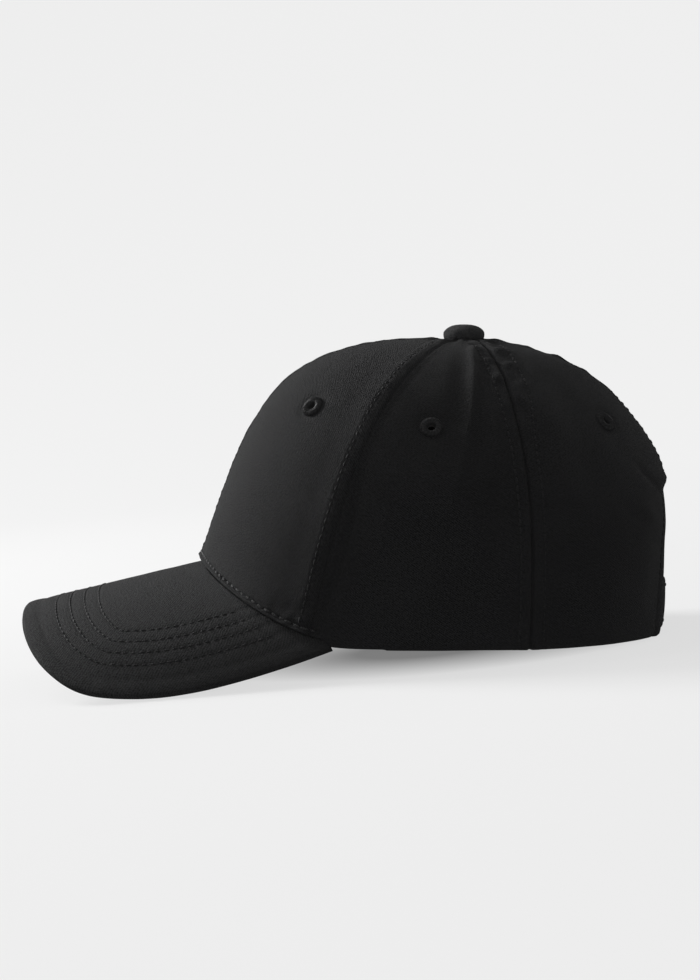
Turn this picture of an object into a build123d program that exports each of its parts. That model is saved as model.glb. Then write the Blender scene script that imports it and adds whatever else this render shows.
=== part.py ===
from build123d import *
import functools
import math
import os

# Six-panel baseball cap with a structured front, a curved visor and an arch opening at the back
# that a hook-and-loop strap closes. All sizes are in millimetres.
#
# The cap is drawn in its crown frame: X to the wearer's left, Y to the back, Z up, with the rim of
# the crown in the plane Z = 4. It is then tipped and moved so that it stands on the table, on the
# visor's side edges and the rear rim, with the origin below the middle of its bounding box.

# Crown: each meridian is a clamped cubic spline of (distance from the apex axis, height).
APEX_Y = 14.0
CROWN_HEIGHT = 125.5
FRONT_MERIDIAN = [(0, 125.5), (13, 125.5), (38.6, 126.3), (76.9, 112.8),
                  (96.2, 77.4), (108.4, 41.4), (116.1, 16.4), (118.9, 4)]
SIDE_MERIDIAN = [(0, 125.5), (13, 125.5), (35, 119.5), (61, 98.5),
                 (79.5, 68), (83, 33), (80.5, 12), (79.5, 4)]
REAR_MERIDIAN = [(0, 125.5), (13, 125.5), (36.4, 121), (66.4, 102.7),
                 (87.5, 71.4), (87.9, 35.4), (86, 12.5), (84.8, 4)]
CROWN_TOP_T = 0.04
SEAM_GAP = 0.25

# Layers of the crown, as depths below its outer surface.
PANEL_DEPTHS = (0.0, 0.8)
BUCKRAM_DEPTHS = (1.0, 1.6)
TAPE_DEPTHS = (1.8, 2.3)
BINDING_DEPTHS = (0.9, 1.5)
SWEATBAND_DEPTHS = (3.0, 4.2)
PADDING_DEPTHS = (4.3, 6.0)
THREAD_DEPTHS = (-0.35, -0.05)
SWEATBAND_WIDTH = 30.0
RIM_MARGIN = 4.5
TAPE_WIDTH = 9.0
THREAD_WIDTH = 0.7
TOPSTITCH_OFFSET = 4.5

# Visor: a shallow cone whose ridge runs forward and down from the front of the crown.
VISOR_JOINT = Vector(0, -97.4, 31.5)
VISOR_TILT = math.radians(13.55)
VISOR_RADIUS = 93.0
VISOR_TAPER = 0.06
VISOR_OUTLINE = [(0, 74.5), (44, 74.5), (78, 59.5), (89, 40), (96, 1), (88, -49)]
VISOR_TUCK = 2.2
VISOR_TAIL_WIDTH = 3.5
TOP_COVER_DEPTHS = (0.0, 0.6)
BOARD_DEPTHS = (0.7, 2.5)
UNDER_COVER_DEPTHS = (2.6, 3.2)
BOARD_INSET = 1.2
BUCKRAM_LIFT = 2.5
PANEL_CLEARANCE = 0.45
EDGE_ROUNDING = 0.012
STITCH_ROW_FIRST = 14.5
STITCH_ROW_PITCH = 6.0
STITCH_ROWS = 4
SEAM_ROW_HEIGHT = 3.2
SEAM_ROW_REACH = math.radians(44.2)

# Button and ventilation eyelets.
BUTTON_RADIUS = 8.5
BUTTON_HEIGHT = 5.0
BUTTON_SKIN = 0.5
TACK_RADIUS = 1.6
WASHER_RADIUS = 7.0
EYELET_RADIUS = 4.5
EYELET_HOLE = 1.6
EYELET_BARREL = 2.3
EYELET_RISE = 0.4
EYELET_T = 0.455
EYELET_ANGLES = {"front": 34.0, "side": 76.0, "rear": 142.5}

# Rear opening and its closure.
ARCH_HALF_WIDTH = 30.0
ARCH_HEIGHT = 64.0
ARCH_BINDING_WIDTH = 9.0
STRAP_Z = (5.5, 25.5)
STRAP_ROOT_X = 26.0
STRAP_END_X = -23.0
STRAP_DEPTHS = (0.9, 2.1)
STRAP_HIDDEN_X = 42.0
ROOT_GAP = 1.2
TAB_END_X = 3.0
TAB_STEP = (-29.0, -24.5)
TAB_DROP = 2.9
PATCH_THICKNESS = 0.6
PATCH_MARGIN = 2.0
PATCH_X = (-21.5, 0.5)


# ---- the crown surface ----

def spline_point(points, t):
    """The point at t, from 0 to 1, on a clamped cubic spline with evenly spaced knots."""
    spans = len(points) - 3
    knots = [0] * 4 + [i / spans for i in range(1, spans)] + [1] * 4
    span = min(int(t * spans), spans - 1) + 3
    work = list(points[span - 3:span + 1])
    for level in range(1, 4):
        for i in range(3, level - 1, -1):
            low = knots[span - 3 + i]
            high = knots[span + 1 + i - level]
            share = (t - low) / (high - low)
            work[i] = tuple((1 - share) * a + share * b for a, b in zip(work[i - 1], work[i]))
    return work[3]


def crown_point(theta, t):
    """Outer surface of the crown: theta is 0 at the front and pi at the back, t is 1 at the rim."""
    end = FRONT_MERIDIAN if math.cos(theta) > 0 else REAR_MERIDIAN
    share = math.cos(theta) ** 2
    meridian = [(share * e[0] + (1 - share) * s[0], share * e[1] + (1 - share) * s[1])
                for e, s in zip(end, SIDE_MERIDIAN)]
    rho, z = spline_point(meridian, t)
    return Vector(rho * math.sin(theta), APEX_Y - rho * math.cos(theta), z)


def crown_at(theta, t, depth):
    """The crown surface moved inwards by depth along its normal."""
    step = 1e-3
    low = max(t - step, 0.0)
    high = min(t + step, 1.0)
    along = crown_point(theta, high) - crown_point(theta, low)
    around = crown_point(theta + step, t) - crown_point(theta - step, t)
    return crown_point(theta, t) - along.cross(around).normalized() * depth


def crown_radius(theta, t):
    point = crown_point(theta, t)
    return math.hypot(point.X, point.Y - APEX_Y)


def bisect(function, low, high, rounds=26):
    """Where a function that is positive at low and negative at high crosses zero."""
    for _ in range(rounds):
        middle = (low + high) / 2
        if function(middle) > 0:
            low = middle
        else:
            high = middle
    return (low + high) / 2


@functools.lru_cache(maxsize=None)
def edge_t(theta):
    """The parameter of the crown's lower edge: the visor joint in front, the rim elsewhere."""
    if math.cos(theta) < 0.4:
        return 1.0

    def gap(t):
        return visor_clearance(crown_point(theta, t)) - PANEL_CLEARANCE

    joint = bisect(gap, 0.4, 1.0) if gap(1.0) < 0 else 1.0 + gap(1.0) / (gap(0.9) - gap(1.0)) * 0.1
    return (joint + 1 - math.hypot(joint - 1, EDGE_ROUNDING)) / 2


def t_above_edge(theta, height):
    """The parameter at a distance above the crown's lower edge, measured along the meridian."""
    steps = 6
    t = edge_t(round(theta, 4))
    if height == 0:
        return t
    for _ in range(steps):
        speed = (crown_point(theta, t) - crown_point(theta, t - 0.01)).length / 0.01
        t -= height / steps / speed
    return t


def front_seam(t):
    return math.radians(67 - 19 * t)


def rear_seam(t):
    return math.radians(105.8 + 12 * (1 - t) ** 8)


def rear_place(x, z):
    """theta and t of the crown's rear surface at a given x and z."""
    theta = math.pi
    for _ in range(6):
        t = bisect(lambda value: crown_point(theta, value).Z - z, 0.2, 1.0, 20)
        theta = math.pi - math.asin(x / crown_radius(theta, t))
    return theta, t


def rear_at(x, z, depth):
    theta, t = rear_place(x, z)
    return crown_at(theta, t, depth)


# ---- the visor surface ----

VISOR_FORWARD = Vector(0, -math.cos(VISOR_TILT), -math.sin(VISOR_TILT))
VISOR_UP = Vector(0, -math.sin(VISOR_TILT), math.cos(VISOR_TILT))


def visor_at(w, s, depth):
    """The visor's top surface at arc width w and forward distance s, moved down by depth."""
    radius = VISOR_RADIUS + VISOR_TAPER * s
    angle = w / radius
    reach = radius - depth
    side = Vector(1, 0, 0) * (reach * math.sin(angle))
    return VISOR_JOINT + VISOR_FORWARD * s + side + VISOR_UP * (reach * math.cos(angle) - radius)


def visor_clearance(point):
    """Height of a point above the visor's top surface."""
    offset = point - VISOR_JOINT
    radius = VISOR_RADIUS + VISOR_TAPER * offset.dot(VISOR_FORWARD)
    return math.hypot(point.X, offset.dot(VISOR_UP) + radius) - radius


def visor_front(a, inset=0.0):
    """Outline of the visor at a, from 0 at the tip to 1 at the tail, moved inwards by inset."""
    step = 1e-3
    low = spline_point(VISOR_OUTLINE, max(a - step, 0.0))
    high = spline_point(VISOR_OUTLINE, min(a + step, 1.0))
    w, s = spline_point(VISOR_OUTLINE, a)
    length = math.hypot(high[0] - low[0], high[1] - low[1])
    return (w + inset * (high[1] - low[1]) / length, s - inset * (high[0] - low[0]) / length)


@functools.lru_cache(maxsize=None)
def visor_back(a):
    """Inner edge of the visor at a: the joint line moved a little way in under the panels."""
    tail_w, tail_s = VISOR_OUTLINE[-1]
    w = a * (tail_w - VISOR_TAIL_WIDTH)

    def outside(s):
        point = visor_at(w, s, 0)
        theta = math.atan2(point.X, APEX_Y - point.Y)
        t = bisect(lambda value: crown_point(theta, value).Z - point.Z, 0.4, 1.0, 20)
        return math.hypot(point.X, point.Y - APEX_Y) - crown_radius(theta, t) + VISOR_TUCK

    return w, max(bisect(outside, 20.0, tail_s - 20), tail_s)


def visor_layer(depths, inset):
    """One layer of the visor, across its whole width."""
    tail_s = VISOR_OUTLINE[-1][1]

    def point(u, v, depth):
        a = abs(2 * u - 1)
        side = 1 if u > 0.5 else -1
        front = visor_front(a, inset)
        back = visor_back(round(a, 4))
        w = back[0] + (front[0] - back[0]) * v
        s = max(back[1], tail_s + inset) + (front[1] - back[1]) * v
        return visor_at(side * w, s, depth)

    return sheet(point, 40, 10, depths)


# ---- solids from surfaces ----

def surface(point, columns, rows, depth):
    grid = [[point(i / columns, j / rows, depth) for j in range(rows + 1)] for i in range(columns + 1)]
    return Face.make_surface_from_array_of_points(grid, tol=0.01)


def sheet(point, columns, rows, depths):
    """A closed solid between two depths of point(u, v, depth)."""
    outer = surface(point, columns, rows, depths[0])
    inner = surface(point, columns, rows, depths[1])
    sides = []
    for edge in outer.edges():
        partner = min(inner.edges(), key=lambda other: (other @ 0.5 - edge @ 0.5).length)
        sides.append(Face.make_surface_from_curves(edge, partner))
    solid = Solid(Shell([outer, inner, *sides]))
    return solid if solid.volume > 0 else Solid(solid.wrapped.Reversed())


def right_of(shape):
    return mirror(shape, about=Plane.YZ)


# ---- crown parts ----

def crown_sheet(low_seam, high_seam, depths, top, gap=SEAM_GAP, lift=0.0):
    """A crown patch between two seams, from near the apex down to a lift above the lower edge."""

    def point(u, v, depth):
        t = top + (1 - top) * v
        for _ in range(3):
            margin = gap / 2 / max(crown_radius(1.0, t), 3.0)
            low = low_seam(t) + margin
            high = high_seam(t) - margin
            theta = low + (high - low) * u
            t = top + (t_above_edge(theta, lift) - top) * v
        return crown_at(theta, t, depth)

    return sheet(point, 20, 24, depths)


def seam_strip(seam, offset, width, depths, top, bottom):
    """A narrow strip that runs beside a seam, between two meridian parameters."""

    def point(u, v, depth):
        t = top + (bottom - top) * v
        theta = seam(t) + (offset + (u - 0.5) * width) / crown_radius(seam(t), t)
        return crown_at(theta, t, depth)

    return sheet(point, 2, 20, depths)


def middle_front(t):
    return 0.0


def middle_rear(t):
    return math.pi


def eyelet_frame(name):
    theta = math.radians(EYELET_ANGLES[name])
    outer = crown_at(theta, EYELET_T, 0)
    return Plane(origin=outer, z_dir=outer - crown_at(theta, EYELET_T, 1.0))


def eyelet_hole(name):
    return eyelet_frame(name) * Cylinder(EYELET_BARREL + 0.1, 8)


def eyelet(name, barrel_depth):
    """An embroidered ring: a flange on the panel and a barrel through its hole."""
    flange = Pos(0, 0, EYELET_RISE / 2 + 0.1) * Cylinder(EYELET_RADIUS, EYELET_RISE)
    barrel_height = barrel_depth + 0.2
    barrel = Pos(0, 0, 0.2 - barrel_height / 2) * Cylinder(EYELET_BARREL, barrel_height)
    ring = flange + barrel - Cylinder(EYELET_HOLE, 4 * barrel_height)
    return eyelet_frame(name) * ring


def arch_prism():
    """The space of the rear opening, as a prism through the back of the crown."""
    ellipse = Ellipse(ARCH_HALF_WIDTH, ARCH_HEIGHT)
    return Pos(0, 140, 0) * Rot(90, 0, 0) * extrude(ellipse, amount=90)


def front_panel():
    return crown_sheet(middle_front, front_seam, PANEL_DEPTHS, CROWN_TOP_T) - eyelet_hole("front")


def side_panel():
    return crown_sheet(front_seam, rear_seam, PANEL_DEPTHS, CROWN_TOP_T) - eyelet_hole("side")


def rear_panel():
    whole = crown_sheet(rear_seam, middle_rear, PANEL_DEPTHS, CROWN_TOP_T)
    return whole - eyelet_hole("rear") - arch_prism()


def front_buckram():
    """Stiffener behind one front panel, cut back from the apex and the seams."""
    stiffener = crown_sheet(middle_front, front_seam, BUCKRAM_DEPTHS, 0.16, gap=2.0, lift=BUCKRAM_LIFT)
    return stiffener - eyelet_hole("front")


def arch_top_t():
    return rear_place(0.0, ARCH_HEIGHT + ARCH_BINDING_WIDTH + 1.5)[1]


def center_tape():
    """Tape over the centre seam inside, from the front sweatband over the top to the arch."""
    front_end = t_above_edge(0.0, SWEATBAND_WIDTH + RIM_MARGIN + 1.0)
    front = seam_strip(middle_front, 0, TAPE_WIDTH, TAPE_DEPTHS, 0.09, front_end)
    rear = seam_strip(middle_rear, 0, TAPE_WIDTH, TAPE_DEPTHS, 0.09, arch_top_t())
    return Compound([front, rear])


def seam_tape(seam):
    end = t_above_edge(seam(1.0), SWEATBAND_WIDTH + RIM_MARGIN + 1.0)
    return seam_strip(seam, 0, TAPE_WIDTH, TAPE_DEPTHS, 0.13, end)


def arch_binding():
    """Binding tape behind the edge of the rear opening."""

    def point(u, v, depth):
        grow = 0.3 + ARCH_BINDING_WIDTH * v
        angle = math.pi * (0.02 + 0.96 * u)
        x = (ARCH_HALF_WIDTH + grow) * math.cos(angle)
        z = (ARCH_HEIGHT + grow) * math.sin(angle)
        return rear_at(x, z, depth)

    whole = sheet(point, 40, 4, BINDING_DEPTHS)
    notch = Pos(0, 90, STRAP_Z[1] / 2) * Box(2 * STRAP_HIDDEN_X + 2, 60, STRAP_Z[1] + 2.5)
    return whole - notch


def band(depths, low, high, start, stop, columns):
    """A band inside the crown that follows its lower edge, between two heights above it."""

    def point(u, v, depth):
        theta = start + (stop - start) * u
        t = t_above_edge(theta, low + (high - low) * v)
        return crown_at(theta, t, depth)

    return sheet(point, columns, 6, depths)


def sweatband():
    end = rear_place(ARCH_HALF_WIDTH + 3.5, 15.0)[0]
    return band(SWEATBAND_DEPTHS, RIM_MARGIN, RIM_MARGIN + SWEATBAND_WIDTH, -end, end, 80)


def sweatband_padding():
    reach = math.radians(50)
    return band(PADDING_DEPTHS, RIM_MARGIN + 3, RIM_MARGIN + SWEATBAND_WIDTH - 5, -reach, reach, 40)


# ---- button ----

def cap_radius(half_width, rise):
    """Radius of the ball that a cap of this half width and rise is cut from."""
    return (half_width ** 2 + rise ** 2) / (2 * rise)


def dome(radius, height, base):
    """A round button head with a domed top and a short straight rim."""
    rim = 0.35 * height
    profile = Plane.XZ * make_face(
        Polyline((0, height), (0, 0), (radius, 0), (radius, rim))
        + RadiusArc((radius, rim), (0, height), -cap_radius(radius, height - rim)))
    return Pos(0, APEX_Y, base) * revolve(profile, Axis.Z)


def button_parts():
    base = CROWN_HEIGHT + 0.35
    shell = dome(BUTTON_RADIUS - BUTTON_SKIN, BUTTON_HEIGHT - BUTTON_SKIN, base)
    core = dome(BUTTON_RADIUS - BUTTON_SKIN - 0.7, BUTTON_HEIGHT - BUTTON_SKIN - 0.7, base)
    hollow = dome(BUTTON_RADIUS - BUTTON_SKIN + 0.05, BUTTON_HEIGHT - BUTTON_SKIN + 0.05, base)
    cover = dome(BUTTON_RADIUS, BUTTON_HEIGHT, base) - hollow
    shaft_top = base + BUTTON_HEIGHT - 1.6
    shaft_bottom = CROWN_HEIGHT - 4.6
    shaft_height = shaft_top - shaft_bottom
    shaft = Pos(0, APEX_Y, shaft_bottom + shaft_height / 2) * Cylinder(TACK_RADIUS, shaft_height)
    washer = Cylinder(WASHER_RADIUS, 0.8) - Cylinder(TACK_RADIUS + 0.05, 2)
    washer = Pos(0, APEX_Y, CROWN_HEIGHT - 3.4) * washer
    rivet_head = Pos(0, APEX_Y, shaft_bottom - 0.4) * Cylinder(TACK_RADIUS * 2, 0.8)
    return {
        "button_shell": shell - core,
        "button_cover": cover,
        "button_tack": shaft + rivet_head,
        "button_washer": washer,
    }


# ---- closure ----

def rear_sheet(x_range, z_range, depths, columns, drop=None):
    """A rectangular piece that follows the rear of the crown."""

    def point(u, v, depth):
        x = x_range[0] + (x_range[1] - x_range[0]) * u
        z = z_range[0] + (z_range[1] - z_range[0]) * v
        return rear_at(x, z, depth + (drop(x) if drop else 0.0))

    return sheet(point, columns, 4, depths)


def tab_drop(x):
    """How far the tab dips below the strap's layer, as it comes out from under the panel."""
    share = min(max((x - TAB_STEP[0]) / (TAB_STEP[1] - TAB_STEP[0]), 0.0), 1.0)
    return TAB_DROP * share * share * (3 - 2 * share)


def strap_hinge():
    """Top of the line that the strap folds about: its outer face, just clear of its sewn root."""
    return rear_at(STRAP_ROOT_X + ROOT_GAP / 2, STRAP_Z[1], STRAP_DEPTHS[0])


def closure_parts():
    patch_z = (STRAP_Z[0] + PATCH_MARGIN, STRAP_Z[1] - PATCH_MARGIN)
    hook_top = STRAP_DEPTHS[1] + 0.05
    loop_bottom = STRAP_DEPTHS[0] + TAB_DROP - 0.05
    hook_depths = (hook_top, hook_top + PATCH_THICKNESS)
    loop_depths = (loop_bottom - PATCH_THICKNESS, loop_bottom)
    stitch_x = PATCH_X[0] + 1.2, PATCH_X[1] - 1.2
    thread_depths = (STRAP_DEPTHS[0] - 0.3, STRAP_DEPTHS[0] - 0.05)
    half = THREAD_WIDTH / 2
    row_x = (stitch_x[0] + 1, stitch_x[1] - 1)
    threads = [rear_sheet((x - half, x + half), patch_z, thread_depths, 2) for x in stitch_x]
    threads += [rear_sheet(row_x, (z - half, z + half), thread_depths, 10) for z in patch_z]
    root_x = (STRAP_ROOT_X + ROOT_GAP, STRAP_HIDDEN_X)
    return {
        "closure_strap": rear_sheet((STRAP_END_X, STRAP_ROOT_X), STRAP_Z, STRAP_DEPTHS, 16),
        "closure_strap_root": rear_sheet(root_x, STRAP_Z, STRAP_DEPTHS, 6),
        "strap_hook_patch": rear_sheet(PATCH_X, patch_z, hook_depths, 10),
        "strap_stitching": Compound(threads),
        "closure_tab": rear_sheet((-STRAP_HIDDEN_X, TAB_END_X), STRAP_Z, STRAP_DEPTHS, 40, tab_drop),
        "tab_loop_patch": rear_sheet(PATCH_X, patch_z, loop_depths, 10),
    }


# ---- threads ----

def visor_row(inset):
    """One stitch row on the visor, parallel to its outline, that ends at the crown joint."""
    samples = [i / 100 for i in range(101)]
    inside = [a for a in samples if visor_row_is_clear(a, inset)]
    reach = max(inside)

    def point(u, v, depth):
        a = abs(2 * u - 1) * reach
        side = 1 if u > 0.5 else -1
        w, s = visor_front(a, inset + (v - 0.5) * THREAD_WIDTH)
        return visor_at(side * w, s, depth)

    return sheet(point, 60, 2, THREAD_DEPTHS)


def visor_row_is_clear(a, inset):
    """Whether a visor stitch row is still in front of the crown panels."""
    w, s = visor_front(a, inset)
    point = visor_at(w, s, 0)
    theta = math.atan2(point.X, APEX_Y - point.Y)
    t = bisect(lambda value: crown_point(theta, value).Z - point.Z, 0.4, 1.0, 20)
    return math.hypot(point.X, point.Y - APEX_Y) - crown_radius(theta, t) > 1.5


def visor_stitching():
    return Compound([visor_row(STITCH_ROW_FIRST + STITCH_ROW_PITCH * i) for i in range(STITCH_ROWS)])


def visor_seam_stitching():
    """The row of stitches on the front panels just above the visor joint."""
    low = SEAM_ROW_HEIGHT - THREAD_WIDTH / 2
    return band(THREAD_DEPTHS, low, low + THREAD_WIDTH, -SEAM_ROW_REACH, SEAM_ROW_REACH, 40)


def crown_topstitching():
    """Two stitch rows beside each of the crown's seams."""
    strips = []
    for offset in (-TOPSTITCH_OFFSET, TOPSTITCH_OFFSET):
        for seam in (front_seam, rear_seam):
            rim_theta = seam(1.0) + offset / crown_radius(seam(1.0), 1.0)
            rim_end = t_above_edge(rim_theta, 1.5)
            strip = seam_strip(seam, offset, THREAD_WIDTH, THREAD_DEPTHS, 0.14, rim_end)
            strips += [strip, right_of(strip)]
        front_end = t_above_edge(0.0, SEAM_ROW_HEIGHT + 1.0)
        strips.append(seam_strip(middle_front, offset, THREAD_WIDTH, THREAD_DEPTHS, 0.14, front_end))
        strips.append(seam_strip(middle_rear, offset, THREAD_WIDTH, THREAD_DEPTHS, 0.14, arch_top_t()))
    return Compound(strips)


# ---- the whole cap ----

def build_cap():
    parts = {}
    pairs = {
        "front_panel": front_panel(),
        "side_panel": side_panel(),
        "rear_panel": rear_panel(),
        "front_buckram": front_buckram(),
        "seam_tape_front": seam_tape(front_seam),
        "seam_tape_rear": seam_tape(rear_seam),
        "eyelet_front": eyelet("front", BUCKRAM_DEPTHS[1]),
        "eyelet_side": eyelet("side", PANEL_DEPTHS[1]),
        "eyelet_rear": eyelet("rear", PANEL_DEPTHS[1]),
    }
    for name, shape in pairs.items():
        parts[name + "_left"] = shape
        parts[name + "_right"] = right_of(shape)
    parts["seam_tape_center"] = center_tape()
    parts["arch_binding"] = arch_binding()
    parts["sweatband"] = sweatband()
    parts["sweatband_padding"] = sweatband_padding()
    parts["visor_top_cover"] = visor_layer(TOP_COVER_DEPTHS, 0.0)
    parts["visor_board"] = visor_layer(BOARD_DEPTHS, BOARD_INSET)
    parts["visor_under_cover"] = visor_layer(UNDER_COVER_DEPTHS, 0.0)
    parts["visor_stitching"] = visor_stitching()
    parts["visor_seam_stitching"] = visor_seam_stitching()
    parts["crown_topstitching"] = crown_topstitching()
    parts.update(button_parts())
    parts.update(closure_parts())
    return parts


def rest_tilt():
    """The nose-up tilt, in degrees, at which the visor's side edges and the rear rim touch the table."""
    edge = [visor_at(*visor_front(i / 100), UNDER_COVER_DEPTHS[1]) for i in range(101)]
    rim = [crown_point(math.pi * (0.5 + i / 80), 1.0) for i in range(41)]

    def rim_above_visor(degrees):
        tip = Rot(-degrees, 0, 0)
        lowest = [min((tip * Pos(point)).position.Z for point in line) for line in (rim, edge)]
        return lowest[0] - lowest[1]

    return bisect(rim_above_visor, 0.0, 15.0)


def rest_place(parts):
    """The move that stands the cap on the table with its bounding box centred over the origin."""
    tip = Rot(-rest_tilt(), 0, 0)
    box = Compound([tip * shape for shape in parts.values()]).bounding_box()
    return Pos(-box.center().X, -box.center().Y, -box.min.Z) * tip


def main():
    os.makedirs("parts", exist_ok=True)
    parts = build_cap()
    place = rest_place(parts)
    for name, shape in parts.items():
        export_step(place * shape, f"parts/{name}.step")
    print("strap hinge at", (place * Pos(strap_hinge())).position)


main()
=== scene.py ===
import math

import bpy
import numpy as np
from mathutils import Euler, Matrix, Vector


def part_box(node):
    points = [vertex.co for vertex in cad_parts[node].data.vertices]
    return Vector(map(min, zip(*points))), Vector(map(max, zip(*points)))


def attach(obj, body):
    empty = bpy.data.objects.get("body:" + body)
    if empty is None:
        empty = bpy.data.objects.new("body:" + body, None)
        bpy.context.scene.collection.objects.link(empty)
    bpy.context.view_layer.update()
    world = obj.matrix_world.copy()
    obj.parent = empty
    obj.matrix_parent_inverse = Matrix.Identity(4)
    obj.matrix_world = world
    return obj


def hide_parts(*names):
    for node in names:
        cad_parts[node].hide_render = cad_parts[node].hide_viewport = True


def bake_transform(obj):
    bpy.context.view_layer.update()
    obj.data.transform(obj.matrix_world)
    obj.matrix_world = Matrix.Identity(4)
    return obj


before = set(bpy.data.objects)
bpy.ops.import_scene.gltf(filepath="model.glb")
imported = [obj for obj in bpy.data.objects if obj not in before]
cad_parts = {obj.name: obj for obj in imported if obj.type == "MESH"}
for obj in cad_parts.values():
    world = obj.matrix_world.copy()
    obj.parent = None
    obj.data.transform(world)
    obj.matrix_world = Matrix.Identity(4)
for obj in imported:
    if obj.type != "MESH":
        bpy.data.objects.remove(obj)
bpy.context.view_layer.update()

# Baseball cap in black cotton twill. The crown and the visor are computed in millimetres in the
# crown frame of the CAD model (X to the wearer's left, Y back, Z up), with the same driving
# dimensions as the CAD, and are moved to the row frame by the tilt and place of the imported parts.

MM = 0.001

# Crown meridians: clamped cubic splines of (distance from the apex axis, height).
REST_TILT = math.radians(5.29291)     # nose-up tilt at which the cap stands on the table
APEX_Y = 14.0
CROWN_HEIGHT = 125.5
WASHER_DROP = 3.4                # depth of the button washer's middle under the crown's top
FRONT_MERIDIAN = np.array([(0, 125.5), (13, 125.5), (38.6, 126.3), (76.9, 112.8),
                           (96.2, 77.4), (108.4, 41.4), (116.1, 16.4), (118.9, 4)])
SIDE_MERIDIAN = np.array([(0, 125.5), (13, 125.5), (35, 119.5), (61, 98.5),
                          (79.5, 68), (83, 33), (80.5, 12), (79.5, 4)])
REAR_MERIDIAN = np.array([(0, 125.5), (13, 125.5), (36.4, 121), (66.4, 102.7),
                          (87.5, 71.4), (87.9, 35.4), (86, 12.5), (84.8, 4)])
CROWN_TOP_T = 0.04
PANEL_SIZE = (86, 150)           # rough width and length of a panel
CELL = 1.0                       # grid spacing of the front and side panels
SEAM_GAP = 0.08
STITCH_PITCH = 3.3
TOPSTITCH = 4.8                  # distance of a topstitch row from its seam
JOINT_GAP = 1.8                  # dark gap between the visor and the welt of the front panels
HEM_ROW = 4.5                    # height of the stitch row above the visor joint
EYELET_T = 0.455
EYELET_ANGLES = {"front": 34.0, "side": 76.0, "rear": 142.5}
EYELET_HOLE = 2.6                # radius of the hole in the cloth
ARCH = (30.0, 64.0)              # half width and height of the rear opening
ARCH_ROW = 6.5                   # distance of the stitch row from the edge of the opening
HANDS = ((1, "left"), (-1, "right"))

# Depths of the layers under the crown's surface, and heights of the sweatband over its lower edge.
PANEL_DEPTHS = (0.0, 0.8)
BUCKRAM_DEPTHS = (1.0, 1.5)
BAND_DEPTHS = (3.2, 4.2)
BAND_HEIGHTS = (2.0, 34.0)

# Section of an eyelet's thread, from inside its hole, and of the button: (radius, height).
EYELET_PROFILE = np.array([(1.55, -2.2), (1.5, -1.0), (1.6, 0.0), (1.95, 0.55), (2.6, 0.85),
                           (3.3, 0.85), (3.9, 0.62), (4.3, 0.25), (4.45, -0.25), (4.4, -0.7)])
BUTTON_PROFILE = np.array([(0.0, 5.35), (1.6, 5.32), (3.2, 5.18), (4.8, 4.85), (6.1, 4.35),
                           (7.2, 3.65), (8.0, 2.9), (8.5, 2.1), (8.6, 1.1), (8.5, 0.2),
                           (8.3, -0.5), (7.6, -1.2), (6.2, -1.4)])
BUTTON_RADIUS = 8.5

# Soft folds of the side and rear panels: width in mm, then places down the crown as
# (distance from the apex in mm, angle round the crown in degrees, height in mm).
FOLDS = (
    (2.3, [(20, 97, 0.0), (29, 94.3, 1.6), (50, 92, 1.6), (66, 90.5, 1.1), (96, 86, 0.7),
           (122, 82, 0.0)]),
    (2.6, [(24, 101, 0.0), (40, 97.5, -0.8), (66, 94, -0.8), (90, 93, -0.4), (110, 91, 0.0)]),
    (3.4, [(30, 85, 0.0), (48, 85, -0.8), (75, 83, -0.5), (100, 80, 0.0)]),
    (2.6, [(52, 97, 0.0), (68, 97.5, 0.7), (88, 98.5, 0.6), (102, 99, 0.0)]),
    (3.6, [(88, 96, 0.0), (104, 96.4, -1.1), (120, 98, -0.9), (134, 99, 0.0)]),
    (6.0, [(100, 76, 0.0), (120, 75, -0.6), (150, 73, 0.0)]),
    (5.0, [(105, 68, 0.0), (125, 67, 0.6), (160, 66, 0.0)]),
    (7.0, [(40, 122, 0.0), (66, 119, 0.8), (95, 116, 0.5), (130, 114, 0.0)]),
    (8.0, [(38, 134, 0.0), (60, 131, -0.9), (90, 128, -0.6), (120, 126, 0.0)]),
    (3.5, [(98, 146, 0.0), (104, 149, -0.8), (110, 155, -1.0), (115, 162, -0.5), (118, 170, 0.0)]),
    (8.0, [(112, 140, 0.0), (120, 147, 0.8), (126, 153, 0.5), (135, 156, 0.0)]),
)

# Visor: a shallow cone whose ridge runs forward and down.
VISOR_JOINT = np.array([0, -97.4, 31.5])
VISOR_TILT = math.radians(13.55)
VISOR_RADIUS = 93.0
VISOR_TAPER = 0.06
VISOR_OUTLINE = np.array([(0, 74.5), (44, 74.5), (78, 59.5), (89, 40), (96, 1), (88, -49)])
VISOR_TAIL_WIDTH = 3.5
VISOR_TUCK = 2.2
VISOR_THICKNESS = 3.2
VISOR_ROWS = [14.5, 20.5, 26.5, 32.5]
VISOR_SEEDS = {"top": 21, "under": 31}
VISOR_FORWARD = np.array([0, -math.cos(VISOR_TILT), -math.sin(VISOR_TILT)])
VISOR_UP = np.array([0, -math.sin(VISOR_TILT), math.cos(VISOR_TILT)])
PANEL_CLEARANCE = 0.45
EDGE_ROUNDING = 0.012

# Closure, with x to the wearer's left and z over the crown frame's floor.
STRAP_Z = (5.5, 25.5)
STRAP_END_X = -23.0
STRAP_ROOT_X = 26.0
STRAP_HIDDEN_X = 42.0
STRAP_DEPTHS = (0.9, 2.1)
TAB_END_X = 3.0
TAB_STEP = (-29.0, -24.5)
TAB_DROP = 2.9
PATCH_X = (-21.5, 0.5)

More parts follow.
